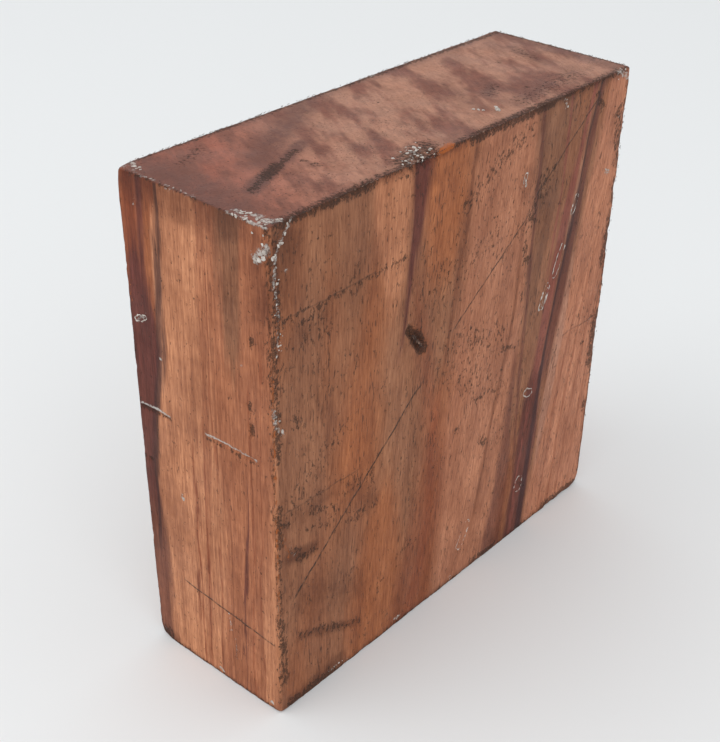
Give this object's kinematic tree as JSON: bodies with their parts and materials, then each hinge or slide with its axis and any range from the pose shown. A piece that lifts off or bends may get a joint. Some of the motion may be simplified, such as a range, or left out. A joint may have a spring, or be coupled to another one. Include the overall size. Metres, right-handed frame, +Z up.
{
  "type": "bowl turning blank",
  "caption": "Square slab of dense brown hardwood, rough sawn and wax sealed, ready to be mounted on a lathe and turned into a bowl.",
  "frame": {"origin": "middle of the box's underside, on the end-grain foot that the blank stands on", "axes": "+Z up along the grain, +Y through the thickness towards the back broad face, +X to the right along the front broad face"},
  "size_m": [0.1536, 0.0516, 0.153],
  "materials": {
    "wood": "sawn hardwood under a thin, dull coat of paraffin wax"
  },
  "bodies": {
    "root": {"blank": "wood"}
  },
  "joints": []
}
